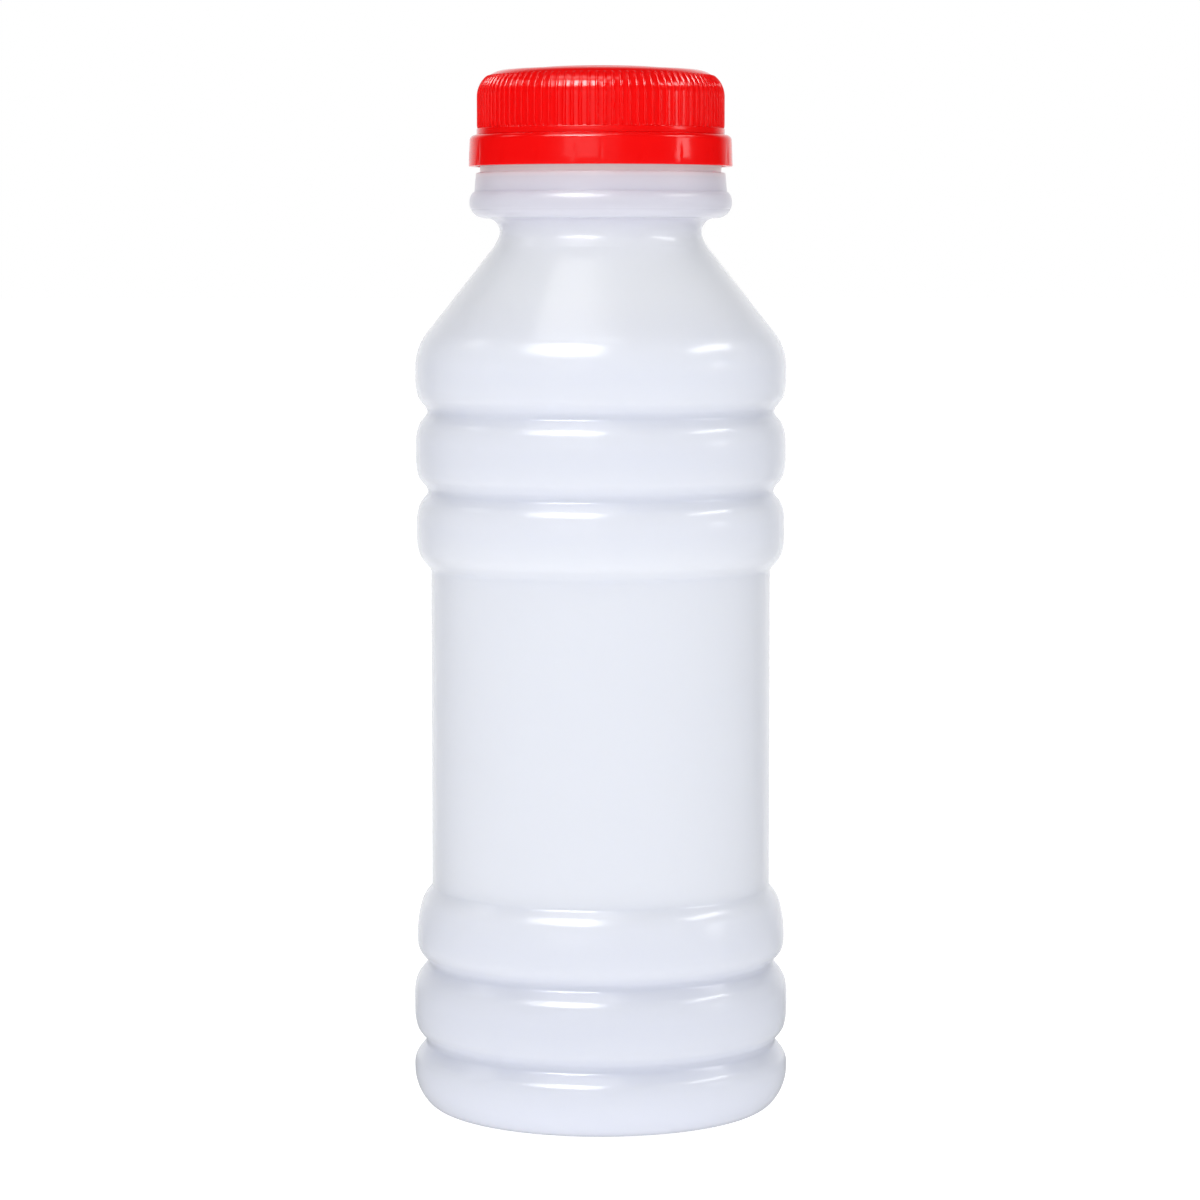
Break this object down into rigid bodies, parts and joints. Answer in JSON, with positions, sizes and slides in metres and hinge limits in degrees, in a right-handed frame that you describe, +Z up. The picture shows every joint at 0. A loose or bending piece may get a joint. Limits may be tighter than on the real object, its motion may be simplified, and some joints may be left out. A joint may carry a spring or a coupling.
{
  "type": "yogurt bottle",
  "caption": "Shut milky plastic drinking-yogurt bottle: hoop rings above and below a recessed label panel, cone shoulder, waisted neck with bead, ribbed red screw cap and tamper band.",
  "frame": {"origin": "centre of the standing ring, on the plane that the bottle stands on", "axes": "+Z up along the bottle's axis, towards the cap; the shape is round about it"},
  "size_m": [0.06, 0.0598, 0.1661],
  "materials": {
    "milky_plastic": "satin, slightly translucent, bluish white",
    "red_plastic": "semi-gloss moulded"
  },
  "bodies": {
    "root": {"bottle": "milky_plastic", "cap": "red_plastic", "tamper_band": "red_plastic"}
  },
  "joints": []
}
